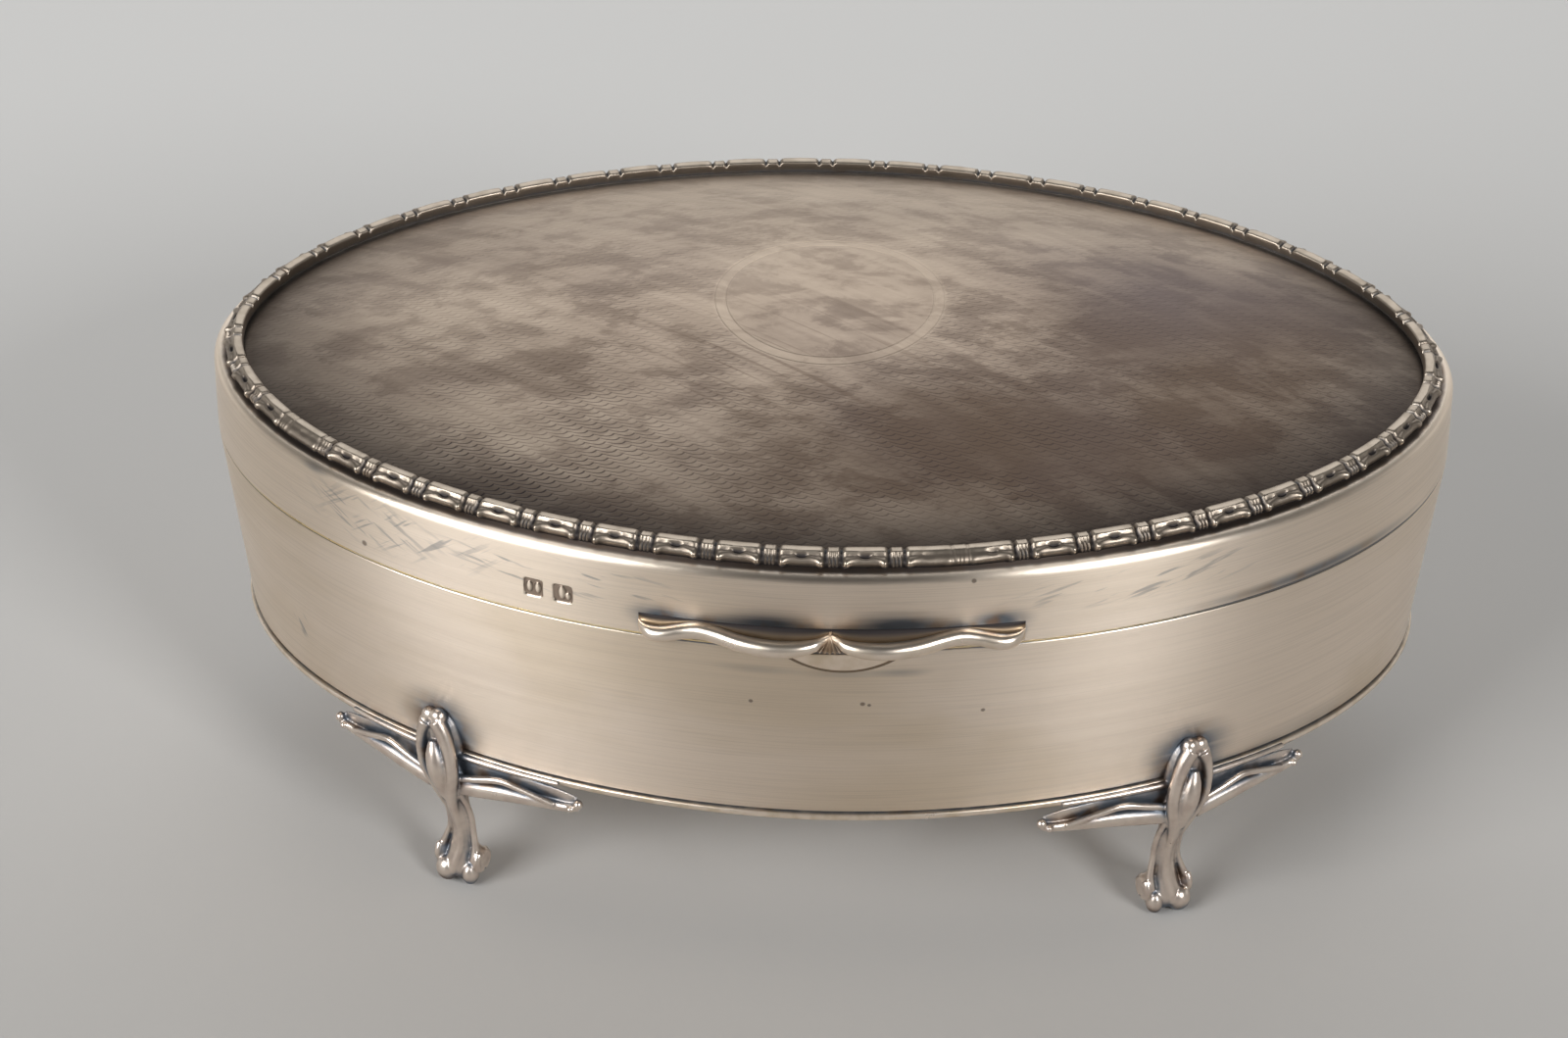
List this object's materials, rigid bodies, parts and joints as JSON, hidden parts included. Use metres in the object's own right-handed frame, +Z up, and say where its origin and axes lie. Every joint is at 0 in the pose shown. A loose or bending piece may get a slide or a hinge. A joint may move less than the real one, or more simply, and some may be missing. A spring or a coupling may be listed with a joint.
{
  "type": "oval silver box",
  "caption": "Oval silver dressing-table box on four cabriole feet, with a domed hinged lid, beaded border, wavy thumbpiece and velvet lining.",
  "frame": {"origin": "on the table under the middle of the box", "axes": "+X along the long side, to the right of someone facing the front; -Y out of the front, where the thumbpiece is; +Z up"},
  "size_m": [0.16, 0.1045, 0.068],
  "materials": {
    "body_silver": "satin silver, fine brushing along the wall, light tarnish",
    "lid_silver": "satin silver with darker tarnish",
    "engine_turned_silver": "engine-turned silver with brown and violet tarnish",
    "cast_silver": "polished cast silver, dark in the hollows",
    "silver_gilt": "satin gilding",
    "hinge_silver": "satin, dark between the knuckles",
    "pin_wire": "drawn wire",
    "card_board": "plain card",
    "velvet": "short-pile velvet"
  },
  "bodies": {
    "box": {"base_plate": "body_silver", "body_wall": "body_silver", "rim_bezel": "silver_gilt", "rim_segment": "body_silver", "foot_front_left": "cast_silver", "foot_front_right": "cast_silver", "foot_back_left": "cast_silver", "foot_back_right": "cast_silver", "hinge_bearer_body": "hinge_silver", "knuckle_body_left": "hinge_silver", "knuckle_body_middle": "hinge_silver", "knuckle_body_right": "hinge_silver", "hinge_pin": "pin_wire", "base_card": "card_board", "base_pad": "velvet", "wall_lining": "velvet"},
    "lid": {"lid_band": "lid_silver", "lid_top": "engine_turned_silver", "lid_border": "cast_silver", "thumbpiece": "cast_silver", "hinge_bearer_lid": "hinge_silver", "knuckle_lid_left": "hinge_silver", "knuckle_lid_right": "hinge_silver", "lid_card": "card_board", "lid_pad": "velvet"}
  },
  "joints": [
    {"name": "lid_hinge", "type": "hinge", "parent": "box", "child": "lid", "pos_m": [0, 0.0506, 0.04915], "axis": [-1, 0, 0], "range_deg": [0, 105]}
  ]
}
